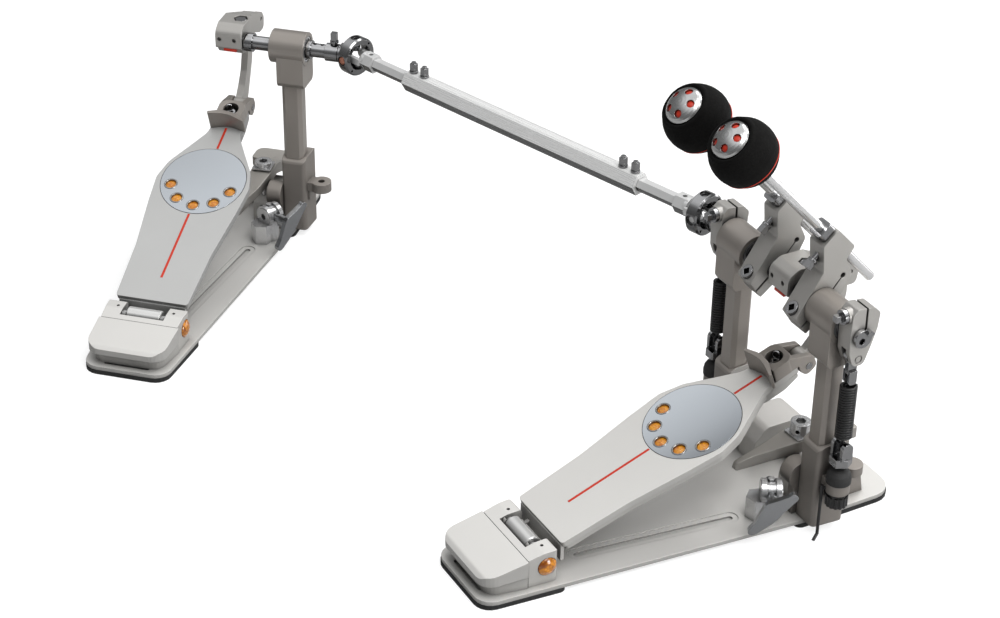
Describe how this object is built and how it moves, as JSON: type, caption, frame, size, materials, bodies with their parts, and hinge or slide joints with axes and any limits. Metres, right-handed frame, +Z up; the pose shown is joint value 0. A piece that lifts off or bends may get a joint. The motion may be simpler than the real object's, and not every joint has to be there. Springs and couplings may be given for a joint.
{
  "type": "double bass drum pedal",
  "caption": "Double bass drum pedal: a main pedal with twin round beaters and spring posts, a left slave pedal, and a telescoping drive shaft with ring joints.",
  "frame": {"origin": "on the floor, directly under the middle of the main pedal's beater shaft", "axes": "+Z up, +Y from the heel to the toe of the main pedal, +X to the player's right"},
  "size_m": [0.7915, 0.5104, 0.3635],
  "materials": {
    "aluminium_light": "satin silver finish with a faint warm tint",
    "rubber_black": "matte black rubber",
    "cast_silver": "fine cast texture under a satin silver finish",
    "cast_taupe": "satin warm grey cast metal",
    "chrome": "polished chrome",
    "satin_nickel": "glossy satin nickel plating",
    "brushed_link": "fine brushed metal",
    "amber_plastic": "glossy amber reflector plastic",
    "mirror_disc": "mirror polished plate",
    "black_steel": "satin black coated steel",
    "tube_aluminium": "drawn aluminium with fine lines along its length",
    "felt_black": "dense matte black felt"
  },
  "bodies": {
    "base": {"primary_base_plate": "aluminium_light", "slave_base_plate": "aluminium_light", "base_pads": "rubber_black", "primary_post_bridge": "cast_silver", "slave_post_bridge": "cast_silver", "posts": "cast_taupe", "bearing_housings": "cast_taupe", "bearings": "chrome", "heel_covers": "aluminium_light", "hinge_blocks": "aluminium_light", "hinge_pins": "chrome", "heel_reflectors": "amber_plastic", "adjuster_screws": "chrome", "adjuster_nuts": "black_steel", "adjuster_bushes": "rubber_black", "clamp_screws": "chrome", "barrel_nuts": "chrome", "floor_spur": "black_steel"},
    "primary_clamp_body": {"primary_clamp_arm": "aluminium_light"},
    "slave_clamp_body": {"slave_clamp_arm": "aluminium_light"},
    "primary_wing_body": {"primary_wing_bolt": "chrome"},
    "slave_wing_body": {"slave_wing_bolt": "chrome"},
    "right_beater": {"right_axle": "chrome", "primary_cam": "cast_taupe", "right_beater_holder": "cast_taupe", "right_beater_rod": "chrome", "right_beater_head": "felt_black", "right_head_cap": "chrome", "right_rocker": "cast_taupe", "right_key_screws": "chrome"},
    "primary_board": {"primary_footboard": "aluminium_light", "primary_target_plate": "mirror_disc", "primary_studs": "amber_plastic", "primary_toe_clevis": "cast_taupe", "primary_toe_pin": "chrome"},
    "primary_link_body": {"primary_link": "brushed_link"},
    "right_spring_body": {"right_spring": "black_steel"},
    "right_hook_body": {"right_spring_hook": "chrome"},
    "left_beater": {"left_axle": "chrome", "left_beater_holder": "cast_taupe", "left_beater_rod": "chrome", "left_beater_head": "felt_black", "left_head_cap": "chrome", "left_rocker": "cast_taupe", "left_key_screws": "chrome"},
    "slave_shaft": {"slave_axle": "chrome", "slave_cam": "cast_taupe"},
    "slave_board": {"slave_footboard": "aluminium_light", "slave_target_plate": "mirror_disc", "slave_studs": "amber_plastic", "slave_toe_clevis": "cast_taupe", "slave_toe_pin": "chrome"},
    "slave_link_body": {"slave_link": "brushed_link"},
    "drive_shaft": {"drive_tube": "tube_aluminium", "drive_rods": "chrome", "tube_key_screws": "chrome"},
    "right_ring_body": {"right_joint_ring": "satin_nickel"},
    "left_ring_body": {"left_joint_ring": "satin_nickel"},
    "left_spring_body": {"left_spring": "black_steel"},
    "left_hook_body": {"left_spring_hook": "chrome"}
  },
  "joints": [
    {"name": "right_beater_swing", "type": "hinge", "parent": "base", "child": "right_beater", "pos_m": [0, 0, 0.193], "axis": [-1, 0, 0], "range_deg": [0, 39], "stiffness_Nm_per_rad": 3, "springref_deg": -25.78},
    {"name": "primary_board_press", "type": "hinge", "parent": "base", "child": "primary_board", "pos_m": [0, -0.2315, 0.0295], "axis": [-1, 0, 0], "range_deg": [0, 8.45]},
    {"name": "primary_link_swing", "type": "hinge", "parent": "primary_board", "child": "primary_link_body", "pos_m": [0.002, 0.01796, 0.11599], "axis": [1, 0, 0], "range_deg": [0, 24.7]},
    {"name": "right_spring_swing", "type": "hinge", "parent": "base", "child": "right_spring_body", "pos_m": [0.0865, 0, 0.09], "axis": [1, 0, 0], "range_deg": [0, 8.36]},
    {"name": "right_spring_stretch", "type": "slide", "parent": "right_spring_body", "child": "right_hook_body", "axis": [0, 0, 1], "range_m": [0, 0.00492], "deforming": ["right_spring"]},
    {"name": "left_beater_swing", "type": "hinge", "parent": "base", "child": "left_beater", "pos_m": [0, 0, 0.193], "axis": [-1, 0, 0], "range_deg": [0, 39.34], "stiffness_Nm_per_rad": 3, "springref_deg": -25.78},
    {"name": "slave_shaft_turn", "type": "hinge", "parent": "base", "child": "slave_shaft", "pos_m": [-0.5975, -0.2103, 0.193], "axis": [-0.6884, -0.7254, 0], "range_deg": [0, 42.1]},
    {"name": "slave_board_press", "type": "hinge", "parent": "base", "child": "slave_board", "pos_m": [-0.42958, -0.36965, 0.0295], "axis": [-0.6884, -0.7254, 0], "range_deg": [0, 9.1]},
    {"name": "slave_link_swing", "type": "hinge", "parent": "slave_board", "child": "slave_link_body", "pos_m": [-0.60915, -0.19649, 0.11599], "axis": [0.6884, 0.7254, 0], "range_deg": [0, 26.6]},
    {"name": "drive_shaft_turn", "type": "hinge", "parent": "base", "child": "drive_shaft", "pos_m": [-0.1179, 0, 0.193], "axis": [-0.9562, -0.2927, 0], "range_deg": [0, 38.2]},
    {"name": "right_ring_tilt", "type": "hinge", "parent": "drive_shaft", "child": "right_ring_body", "pos_m": [-0.1179, 0, 0.193], "axis": [-0.2927, 0.9562, 0], "range_deg": [0, 10.8]},
    {"name": "left_ring_tilt", "type": "hinge", "parent": "drive_shaft", "child": "left_ring_body", "pos_m": [-0.51256, -0.12079, 0.193], "axis": [0.2927, -0.9562, 0], "range_deg": [0, 19.3]},
    {"name": "left_spring_swing", "type": "hinge", "parent": "base", "child": "left_spring_body", "pos_m": [-0.0865, 0, 0.09], "axis": [1, 0, 0], "range_deg": [0, 8.6]},
    {"name": "left_spring_stretch", "type": "slide", "parent": "left_spring_body", "child": "left_hook_body", "axis": [0, 0, 1], "range_m": [0, 0.0047], "deforming": ["left_spring"]},
    {"name": "primary_wing_turn", "type": "hinge", "parent": "base", "child": "primary_wing_body", "pos_m": [0.046, -0.033, 0.033], "axis": [0.866, -0.5, 0], "range_deg": [-90, 360]},
    {"name": "primary_clamp_tilt", "type": "hinge", "parent": "base", "child": "primary_clamp_body", "pos_m": [0.027, 0.005, 0.057], "axis": [1, 0, 0], "range_deg": [-2.55, 0.65]},
    {"name": "slave_wing_turn", "type": "hinge", "parent": "base", "child": "slave_wing_body", "pos_m": [-0.5419, -0.19965, 0.033], "axis": [0.9588, 0.284, 0], "range_deg": [-90, 360]},
    {"name": "slave_clamp_tilt", "type": "hinge", "parent": "base", "child": "slave_clamp_body", "pos_m": [-0.58254, -0.18727, 0.055], "axis": [0.6884, 0.7254, 0], "range_deg": [-2.55, 0.65]}
  ],
  "couplings": [
    {"joint": "primary_board_press", "follows": "right_beater_swing", "ratio": 0.215},
    {"joint": "primary_link_swing", "follows": "right_beater_swing", "ratio": 0.63},
    {"joint": "right_spring_swing", "follows": "right_beater_swing", "ratio": 0.212},
    {"joint": "right_spring_stretch", "follows": "right_beater_swing", "m_per_rad": 0.007059},
    {"joint": "slave_shaft_turn", "follows": "left_beater_swing", "ratio": 1.0676},
    {"joint": "slave_board_press", "follows": "left_beater_swing", "ratio": 0.22954},
    {"joint": "slave_link_swing", "follows": "left_beater_swing", "ratio": 0.6726},
    {"joint": "drive_shaft_turn", "follows": "left_beater_swing", "ratio": 0.96823},
    {"joint": "right_ring_tilt", "follows": "left_beater_swing", "ratio": 0.27178},
    {"joint": "left_ring_tilt", "follows": "left_beater_swing", "ratio": 0.48876},
    {"joint": "left_spring_swing", "follows": "left_beater_swing", "ratio": 0.2155},
    {"joint": "left_spring_stretch", "follows": "left_beater_swing", "m_per_rad": 0.006681},
    {"joint": "primary_clamp_tilt", "follows": "primary_wing_turn", "ratio": -0.006944},
    {"joint": "slave_clamp_tilt", "follows": "slave_wing_turn", "ratio": -0.006944}
  ]
}
